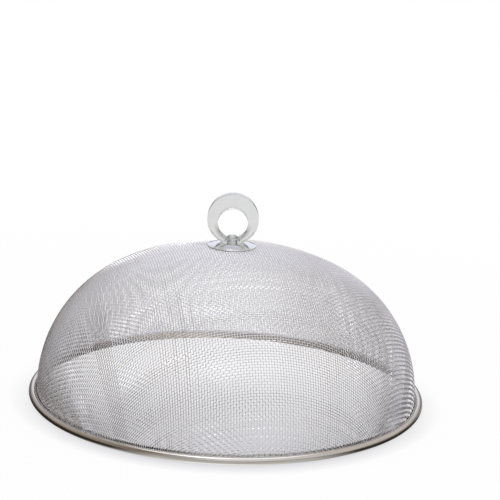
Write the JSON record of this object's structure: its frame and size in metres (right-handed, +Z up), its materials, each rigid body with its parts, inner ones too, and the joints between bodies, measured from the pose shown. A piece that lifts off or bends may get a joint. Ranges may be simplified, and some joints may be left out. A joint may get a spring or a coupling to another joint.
{
  "type": "mesh food cover",
  "caption": "Low round dome of woven wire cloth in a rolled steel rim, with a clear ring handle on a domed plate, to keep flies off a plate or dish.",
  "frame": {"origin": "middle of the circle on which the rim stands, at table height", "axes": "+Z up along the dome's axis, +X along the plane of the ring handle, -Y towards the viewer of the picture"},
  "size_m": [0.2999, 0.3, 0.1566],
  "materials": {
    "wire_cloth": "drawn stainless wire, woven square",
    "rim": "rolled stainless sheet, bright",
    "plate": "polished",
    "handle": "clear moulded acrylic, polished",
    "washer": "pressed sheet",
    "screw": "zinc plated"
  },
  "bodies": {
    "root": {"mesh_dome": "wire_cloth", "rim_band": "rim", "base_plate": "plate", "handle_ring": "handle", "backing_washer": "washer", "clamp_screw": "screw"}
  },
  "joints": []
}
